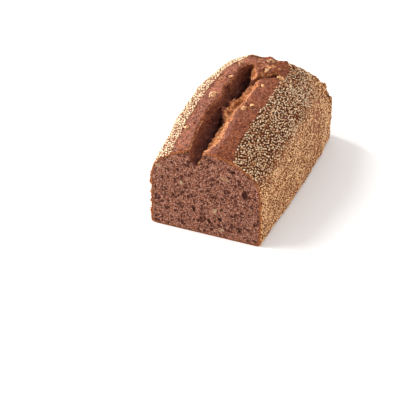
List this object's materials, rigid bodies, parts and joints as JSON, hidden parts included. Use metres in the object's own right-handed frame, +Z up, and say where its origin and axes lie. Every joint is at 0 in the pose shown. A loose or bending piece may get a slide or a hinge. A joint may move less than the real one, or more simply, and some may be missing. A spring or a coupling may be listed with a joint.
{
  "type": "walnut bread",
  "caption": "Heel end of a long tin loaf with a flat cut face, a flat base, sesame seed over its sides, walnut pieces and a crust split open along the top.",
  "frame": {"origin": "the middle of the loaf's flat base", "axes": "+Y along the loaf from the cut face to the baked heel, +Z up, +X to the right when the cut face is looked at"},
  "size_m": [0.1184, 0.2153, 0.1001],
  "materials": {
    "bread": "matt baked crust and open crumb with sesame seed pressed in",
    "walnut": "matt, slightly oily toasted walnut"
  },
  "bodies": {
    "root": {"loaf": "bread", "walnut_01": "walnut", "walnut_02": "walnut", "walnut_03": "walnut", "walnut_04": "walnut", "walnut_05": "walnut", "walnut_06": "walnut", "walnut_07": "walnut", "walnut_08": "walnut", "walnut_09": "walnut", "walnut_10": "walnut", "walnut_11": "walnut", "walnut_12": "walnut", "walnut_13": "walnut", "walnut_14": "walnut", "walnut_15": "walnut", "walnut_16": "walnut", "walnut_17": "walnut"}
  },
  "joints": []
}
